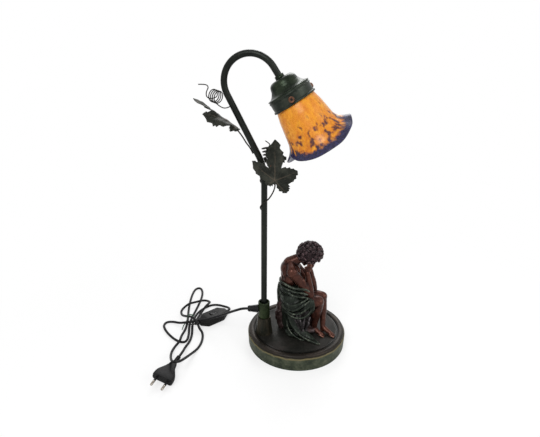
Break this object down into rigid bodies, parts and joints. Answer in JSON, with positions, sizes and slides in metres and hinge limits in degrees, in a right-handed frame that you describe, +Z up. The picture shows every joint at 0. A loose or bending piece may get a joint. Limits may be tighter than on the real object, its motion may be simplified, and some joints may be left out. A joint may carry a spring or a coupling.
{
  "type": "figural table lamp",
  "caption": "Table lamp with a seated bronze figure on a round base, crook stem with vine leaves and tendrils, tilted art glass tulip shade, cord with switch and plug.",
  "frame": {"origin": "centre of the underside of the felt pad, on the table", "axes": "+Z up, the stem stands at -X of the figure, the crook leans over the figure towards +X and a little towards -Y, the cord leaves at -X"},
  "size_m": [0.3414, 0.3083, 0.5011],
  "materials": {
    "base_plinth": "mottled green patina over bronze, yellowish worn edge",
    "base_plate": "dark brown patina, ring moulding lighter brown",
    "base_weight": "rough cast",
    "base_screws": "plain",
    "felt_pad": "felt",
    "stem_pedestal": "dark patina with worn vertical edges",
    "stem_collar": "green patina",
    "cord_gland": "black, ribbed",
    "stem_nipple": "threaded tube",
    "stem_washer": "plain",
    "stem_nut": "plain",
    "stem_tube": "dark green-grey patina",
    "inner_flex": "black sheath",
    "neck_ring": "dark patina",
    "canopy_dome": "dark green, glossy",
    "shade_gallery": "grey-green patina",
    "shade_screw_1": "copper-brown",
    "shade_screw_2": "copper-brown",
    "shade_screw_3": "copper-brown",
    "holder_nipple": "threaded tube",
    "holder_nut": "plain",
    "holder_body": "glazed",
    "holder_contact": "plain",
    "bulb_cap": "plain",
    "bulb_glass": "opal white",
    "glass_shade": "amber art glass with a blue-violet rim",
    "leaf_front": "green patina over copper sheet",
    "leaf_back": "green patina over copper sheet",
    "leaf_upper": "green patina over copper sheet",
    "vine_lower": "dark patina",
    "vine_middle": "dark patina",
    "vine_upper": "dark patina",
    "tendril_lower": "dark patina",
    "tendril_upper": "dark patina",
    "figure": "red-brown bronze with green drapery",
    "figure_bolt": "plain",
    "cord_lead": "black sheath",
    "cord_tail": "black sheath",
    "cord_tie": "green coated wire",
    "switch_lower": "dark grey, ribbed",
    "switch_upper": "dark grey, ribbed",
    "switch_screws": "plain",
    "switch_pin": "plain",
    "switch_rocker": "black",
    "plug_body": "black, matt",
    "plug_pins": "nickel plated",
    "plug_sleeves": "black"
  },
  "bodies": {
    "base": {"base_plinth": "base_plinth", "base_plate": "base_plate", "base_weight": "base_weight", "base_screws": "base_screws", "felt_pad": "felt_pad", "stem_pedestal": "stem_pedestal", "stem_collar": "stem_collar", "cord_gland": "cord_gland", "stem_nipple": "stem_nipple", "stem_washer": "stem_washer", "stem_nut": "stem_nut", "stem_tube": "stem_tube", "inner_flex": "inner_flex", "neck_ring": "neck_ring", "canopy_dome": "canopy_dome", "shade_gallery": "shade_gallery", "holder_nipple": "holder_nipple", "holder_nut": "holder_nut", "holder_body": "holder_body", "holder_contact": "holder_contact", "glass_shade": "glass_shade", "leaf_front": "leaf_front", "leaf_back": "leaf_back", "leaf_upper": "leaf_upper", "vine_lower": "vine_lower", "vine_middle": "vine_middle", "vine_upper": "vine_upper", "tendril_lower": "tendril_lower", "tendril_upper": "tendril_upper", "figure": "figure", "figure_bolt": "figure_bolt", "cord_lead": "cord_lead", "cord_tail": "cord_tail", "cord_tie": "cord_tie", "switch_lower": "switch_lower", "switch_upper": "switch_upper", "switch_screws": "switch_screws", "switch_pin": "switch_pin", "plug_body": "plug_body", "plug_pins": "plug_pins", "plug_sleeves": "plug_sleeves"},
    "shade_screw_1": {"shade_screw_1": "shade_screw_1"},
    "shade_screw_2": {"shade_screw_2": "shade_screw_2"},
    "shade_screw_3": {"shade_screw_3": "shade_screw_3"},
    "bulb": {"bulb_cap": "bulb_cap", "bulb_glass": "bulb_glass"},
    "rocker": {"switch_rocker": "switch_rocker"}
  },
  "joints": [
    {"name": "shade_screw_slide_1", "type": "slide", "parent": "base", "child": "shade_screw_1", "axis": [-0.2687, -0.9584, 0.0965], "range_m": [0, 0.0034]},
    {"name": "shade_screw_slide_2", "type": "slide", "parent": "base", "child": "shade_screw_2", "axis": [-0.5747, 0.6302, -0.5221], "range_m": [0, 0.0034]},
    {"name": "shade_screw_slide_3", "type": "slide", "parent": "base", "child": "shade_screw_3", "axis": [0.8433, 0.3281, 0.4256], "range_m": [0, 0.0034]},
    {"name": "bulb_turn", "type": "hinge", "parent": "base", "child": "bulb", "pos_m": [0.00568, -0.0288, 0.39143], "axis": [0.5075, -0.226, -0.8315], "range_deg": [0, 360]},
    {"name": "switch_rock", "type": "hinge", "parent": "base", "child": "rocker", "pos_m": [-0.1413, 0.0883, 0.012], "axis": [0.4741, -0.8805, 0], "range_deg": [0, 14]}
  ]
}
